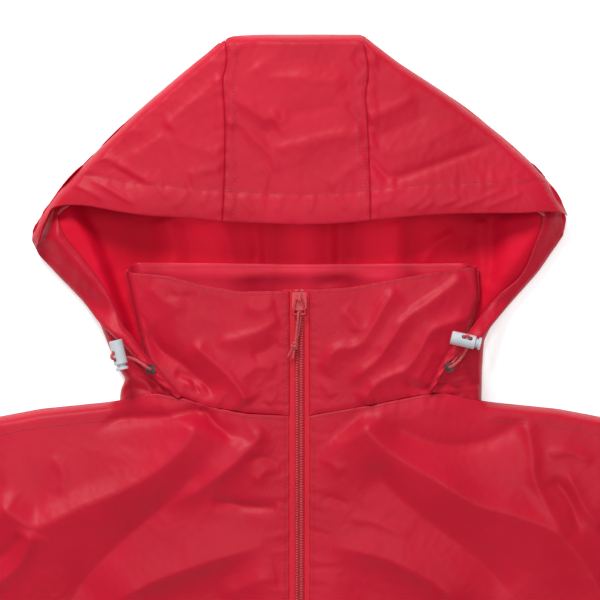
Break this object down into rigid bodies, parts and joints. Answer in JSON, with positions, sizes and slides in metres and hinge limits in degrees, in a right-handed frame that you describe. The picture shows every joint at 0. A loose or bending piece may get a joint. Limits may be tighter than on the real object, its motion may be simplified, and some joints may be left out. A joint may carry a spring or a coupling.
{
  "type": "hooded jacket",
  "caption": "Thin hooded full-zip shell jacket laid flat, with stand collar, drawcord hood with spring cord locks, zipped hand pockets and elastic cuffs.",
  "frame": {"origin": "middle of the footprint, on the surface that the jacket lies on", "axes": "+X towards the wearer's left, +Y from the hem to the top of the hood, +Z out of the front"},
  "size_m": [0.9, 0.988, 0.0447],
  "materials": {
    "shell_fabric": "thin plain-weave polyester with a soft satin sheen",
    "zip_tape": "woven polyester tape",
    "zip_plastic": "moulded coil, satin",
    "painted_slider": "gloss red paint on die-cast zinc",
    "elastic_cord": "braided elastic cord",
    "lock_plastic": "light grey moulded plastic",
    "spring_steel": "bright drawn wire",
    "eyelet_metal": "darkened metal",
    "pocket_lining": "light plain weave",
    "cuff_elastic": "ribbed woven elastic",
    "ribbon": "woven ribbon"
  },
  "bodies": {
    "jacket": {"back_panel": "shell_fabric", "collar_back": "shell_fabric", "collar_front_left": "shell_fabric", "collar_front_right": "shell_fabric", "cord_lock_barrel_left": "lock_plastic", "cord_lock_barrel_right": "lock_plastic", "cord_lock_spring_left": "spring_steel", "cord_lock_spring_right": "spring_steel", "cuff_elastic_left": "cuff_elastic", "cuff_elastic_right": "cuff_elastic", "eyelet_left": "eyelet_metal", "eyelet_right": "eyelet_metal", "front_panel_left": "shell_fabric", "front_panel_right": "shell_fabric", "hang_loop": "ribbon", "hem_facing": "shell_fabric", "hood_back": "shell_fabric", "hood_brim_facing": "shell_fabric", "hood_drawcord": "elastic_cord", "hood_neck_side_left": "shell_fabric", "hood_neck_side_right": "shell_fabric", "hood_panel_centre": "shell_fabric", "hood_panel_left": "shell_fabric", "hood_panel_right": "shell_fabric", "hood_side_hem_left": "shell_fabric", "hood_side_hem_right": "shell_fabric", "neck_tape": "ribbon", "pocket_bag_left": "pocket_lining", "pocket_bag_right": "pocket_lining", "pocket_coil_left": "zip_plastic", "pocket_coil_right": "zip_plastic", "pocket_tape_left": "zip_tape", "pocket_tape_right": "zip_tape", "sleeve_top_left": "shell_fabric", "sleeve_top_right": "shell_fabric", "sleeve_under_left": "shell_fabric", "sleeve_under_right": "shell_fabric", "toggle_cord_left": "elastic_cord", "toggle_cord_right": "elastic_cord", "zip_coil_left": "zip_plastic", "zip_coil_right": "zip_plastic", "zip_insertion_pin": "zip_plastic", "zip_retainer_box": "zip_plastic", "zip_tape_left": "zip_tape", "zip_tape_right": "zip_tape", "zip_top_stops": "zip_plastic"},
    "main_slider": {"zip_slider": "painted_slider"},
    "main_pull": {"zip_pull_wire": "painted_slider", "zip_pull_cord": "elastic_cord", "zip_pull_knot": "elastic_cord"},
    "lock_button_left": {"cord_lock_plunger_left": "lock_plastic"},
    "lock_button_right": {"cord_lock_plunger_right": "lock_plastic"},
    "pocket_slider_left_body": {"pocket_slider_left": "painted_slider"},
    "pocket_pull_left_body": {"pocket_pull_left": "painted_slider"},
    "pocket_slider_right_body": {"pocket_slider_right": "painted_slider"},
    "pocket_pull_right_body": {"pocket_pull_right": "painted_slider"}
  },
  "joints": [
    {"name": "main_zip_slide", "type": "slide", "parent": "jacket", "child": "main_slider", "axis": [0, -1, 0], "range_m": [0, 0.758]},
    {"name": "main_pull_hinge", "type": "hinge", "parent": "main_slider", "child": "main_pull", "pos_m": [0, 0.3, 0.0279], "axis": [-1, 0, 0], "range_deg": [0, 150]},
    {"name": "lock_button_left_press", "type": "slide", "parent": "jacket", "child": "lock_button_left", "axis": [-0.975, 0.222, 0], "range_m": [0, 0.002], "stiffness_N_per_m": 600, "springref_m": -0.002, "deforming": ["cord_lock_spring_left"]},
    {"name": "lock_button_right_press", "type": "slide", "parent": "jacket", "child": "lock_button_right", "axis": [-0.235, 0.972, 0], "range_m": [0, 0.002], "stiffness_N_per_m": 600, "springref_m": -0.002, "deforming": ["cord_lock_spring_right"]},
    {"name": "pocket_zip_left_slide", "type": "slide", "parent": "jacket", "child": "pocket_slider_left_body", "axis": [0.1564, -0.9877, 0], "range_m": [0, 0.138]},
    {"name": "pocket_pull_left_hinge", "type": "hinge", "parent": "pocket_slider_left_body", "child": "pocket_pull_left_body", "pos_m": [0.16658, -0.2069, 0.0279], "axis": [-0.9877, -0.1564, 0], "range_deg": [0, 150]},
    {"name": "pocket_zip_right_slide", "type": "slide", "parent": "jacket", "child": "pocket_slider_right_body", "axis": [-0.1564, -0.9877, 0], "range_m": [0, 0.138]},
    {"name": "pocket_pull_right_hinge", "type": "hinge", "parent": "pocket_slider_right_body", "child": "pocket_pull_right_body", "pos_m": [-0.16658, -0.2069, 0.0279], "axis": [-0.9877, 0.1564, 0], "range_deg": [0, 150]}
  ]
}
